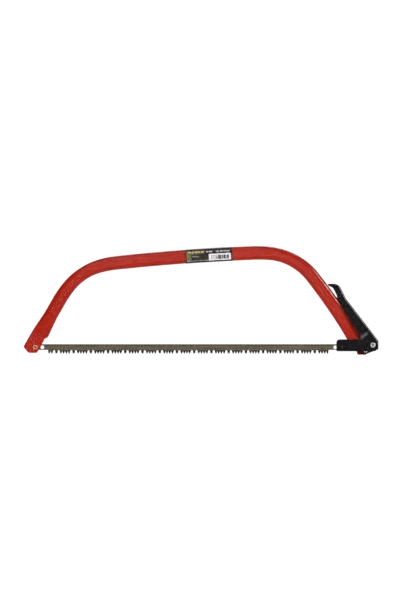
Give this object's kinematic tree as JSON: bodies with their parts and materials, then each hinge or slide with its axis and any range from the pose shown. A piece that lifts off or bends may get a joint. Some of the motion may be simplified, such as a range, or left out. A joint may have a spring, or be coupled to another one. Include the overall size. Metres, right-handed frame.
{
  "type": "bow saw",
  "caption": "Bow saw with a bent flat-oval tube frame, a raker-tooth blade held by a pin at the front and a toggle tension lever and link at the rear.",
  "frame": {"origin": "middle of the base: under the middle of the saw's length, in its mid-plane, level with its lowest point, the foot of the tension lever", "axes": "+X along the blade from the front pin to the tension lever, +Z from the teeth up to the bow, Y across the thickness, the pictured side facing -Y"},
  "size_m": [0.7028, 0.0224, 0.2157],
  "materials": {
    "red_paint": "gloss enamel on steel tube",
    "black_paint": "semi-gloss black on pressed steel",
    "blade_steel": "oiled, hardened teeth",
    "bright_steel": "zinc plated",
    "copper_plate": "copper-washed steel rivet",
    "print_film": "printed film"
  },
  "bodies": {
    "frame": {"frame_tube": "red_paint", "frame_label": "print_film", "front_blade_pin": "copper_plate", "lever_pivot_rivet": "bright_steel", "lever_pivot_sleeve": "bright_steel", "lever_washer_near": "bright_steel", "lever_washer_far": "bright_steel"},
    "blade": {"saw_blade": "blade_steel"},
    "lever": {"tension_lever": "black_paint", "link_rivet": "bright_steel", "link_rivet_sleeve": "bright_steel"},
    "link": {"blade_link": "black_paint", "rear_blade_pin": "black_paint", "rear_spacer_near": "bright_steel", "rear_spacer_far": "bright_steel"}
  },
  "joints": [
    {"name": "lever_pivot", "type": "hinge", "parent": "frame", "child": "lever", "pos_m": [0.32603, 0, 0.00857], "axis": [0, 1, 0], "range_deg": [0, 100]},
    {"name": "link_pivot", "type": "hinge", "parent": "lever", "child": "link", "pos_m": [0.34053, 0, 0.01947], "axis": [0, 1, 0], "range_deg": [-98, 0]},
    {"name": "blade_pivot", "type": "hinge", "parent": "frame", "child": "blade", "pos_m": [-0.32917, 0, 0.01517], "axis": [0, 1, 0], "range_deg": [0, 2.5]}
  ],
  "couplings": [
    {"joint": "link_pivot", "follows": "lever_pivot", "ratio": -0.9758},
    {"joint": "blade_pivot", "follows": "lever_pivot", "ratio": 0.0242}
  ]
}
